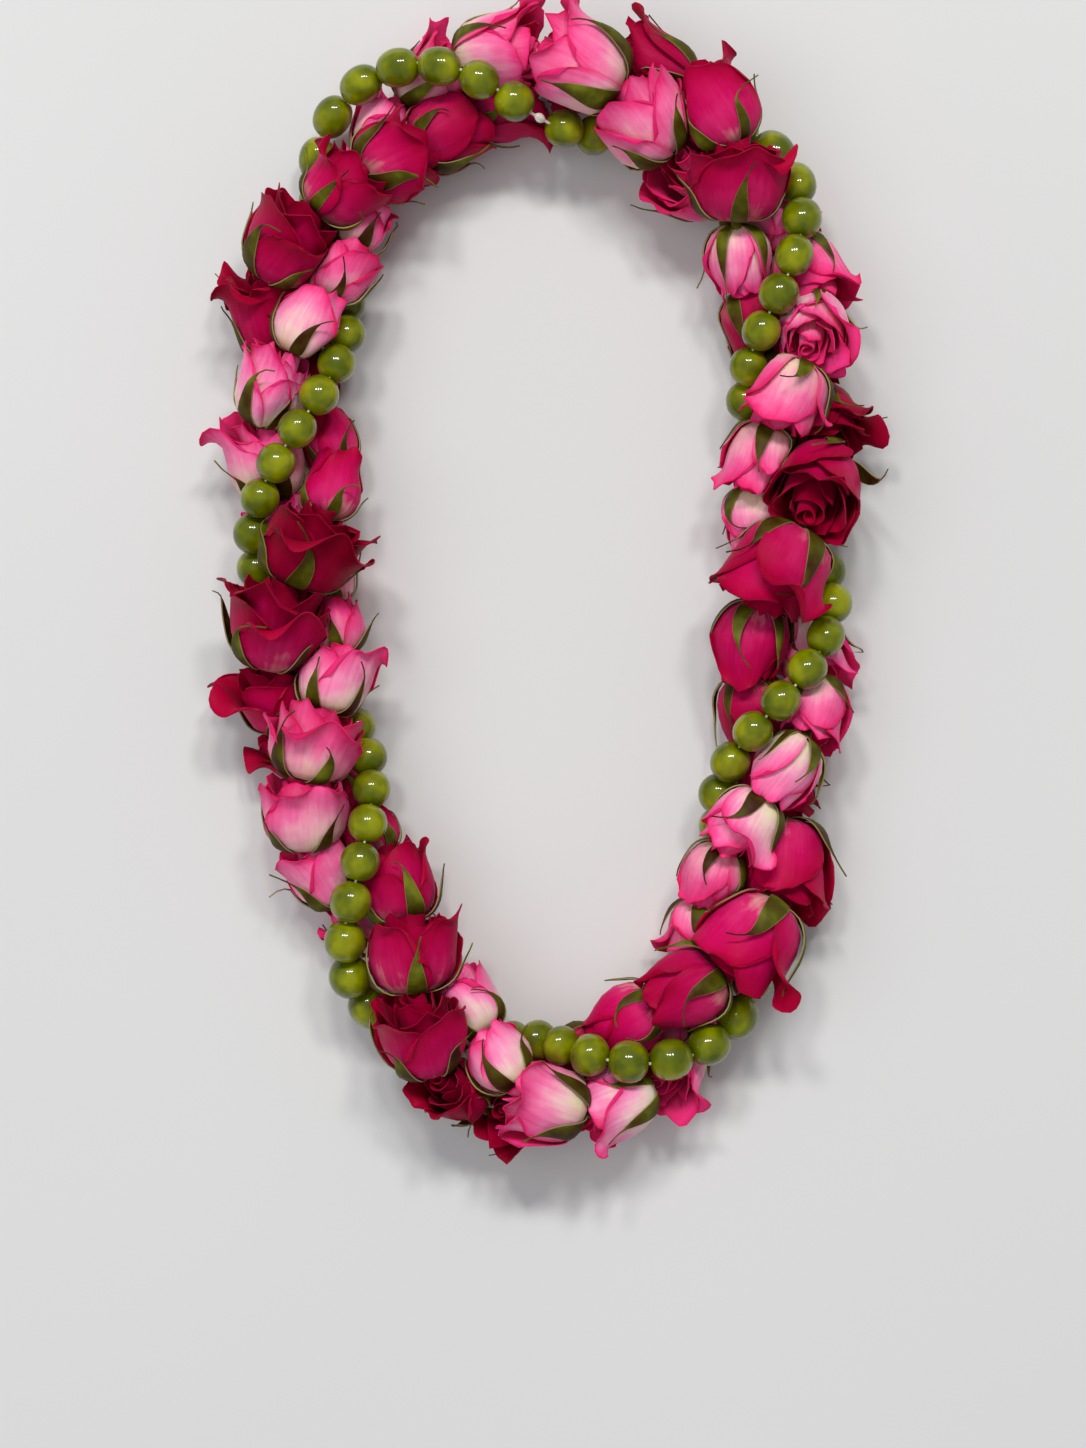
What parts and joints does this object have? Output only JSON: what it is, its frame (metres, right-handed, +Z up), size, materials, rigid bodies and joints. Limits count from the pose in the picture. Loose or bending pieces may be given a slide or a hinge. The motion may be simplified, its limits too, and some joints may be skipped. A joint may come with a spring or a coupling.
{
  "type": "rose and berry lei",
  "caption": "Closed flower lei laid flat: strings of magenta roses, pink roses and round green berries twisted together into one rope, each on its own knotted thread.",
  "frame": {"origin": "under the middle of the bounding box, on the table", "axes": "+X to the right, +Y towards the back of the neck, where the strings are knotted, +Z up"},
  "size_m": [0.2569, 0.45, 0.0632],
  "materials": {
    "magenta_petal": "velvety petal",
    "pink_petal": "velvety petal",
    "green_berry": "glossy berry skin",
    "cotton_thread": "matte cotton"
  },
  "bodies": {
    "root": {"magenta_roses_01": "magenta_petal", "magenta_roses_02": "magenta_petal", "magenta_roses_03": "magenta_petal", "magenta_roses_04": "magenta_petal", "magenta_roses_05": "magenta_petal", "magenta_roses_06": "magenta_petal", "magenta_roses_07": "magenta_petal", "magenta_roses_08": "magenta_petal", "magenta_roses_09": "magenta_petal", "magenta_roses_10": "magenta_petal", "magenta_roses_11": "magenta_petal", "magenta_roses_12": "magenta_petal", "magenta_roses_13": "magenta_petal", "magenta_roses_14": "magenta_petal", "magenta_roses_15": "magenta_petal", "magenta_roses_16": "magenta_petal", "magenta_roses_17": "magenta_petal", "magenta_roses_18": "magenta_petal", "magenta_roses_19": "magenta_petal", "pink_roses_01": "pink_petal", "pink_roses_02": "pink_petal", "pink_roses_03": "pink_petal", "pink_roses_04": "pink_petal", "pink_roses_05": "pink_petal", "pink_roses_06": "pink_petal", "pink_roses_07": "pink_petal", "pink_roses_08": "pink_petal", "pink_roses_09": "pink_petal", "pink_roses_10": "pink_petal", "pink_roses_11": "pink_petal", "pink_roses_12": "pink_petal", "pink_roses_13": "pink_petal", "pink_roses_14": "pink_petal", "pink_roses_15": "pink_petal", "pink_roses_16": "pink_petal", "pink_roses_17": "pink_petal", "pink_roses_18": "pink_petal", "pink_roses_19": "pink_petal", "pink_roses_20": "pink_petal", "green_berries_01": "green_berry", "green_berries_02": "green_berry", "green_berries_03": "green_berry", "green_berries_04": "green_berry", "green_berries_05": "green_berry", "green_berries_06": "green_berry", "green_berries_07": "green_berry", "green_berries_08": "green_berry", "green_berries_09": "green_berry", "green_berries_10": "green_berry", "green_berries_11": "green_berry", "green_berries_12": "green_berry", "green_berries_13": "green_berry", "green_berries_14": "green_berry", "green_berries_15": "green_berry", "magenta_thread": "cotton_thread", "pink_thread": "cotton_thread", "berry_thread": "cotton_thread"}
  },
  "joints": []
}
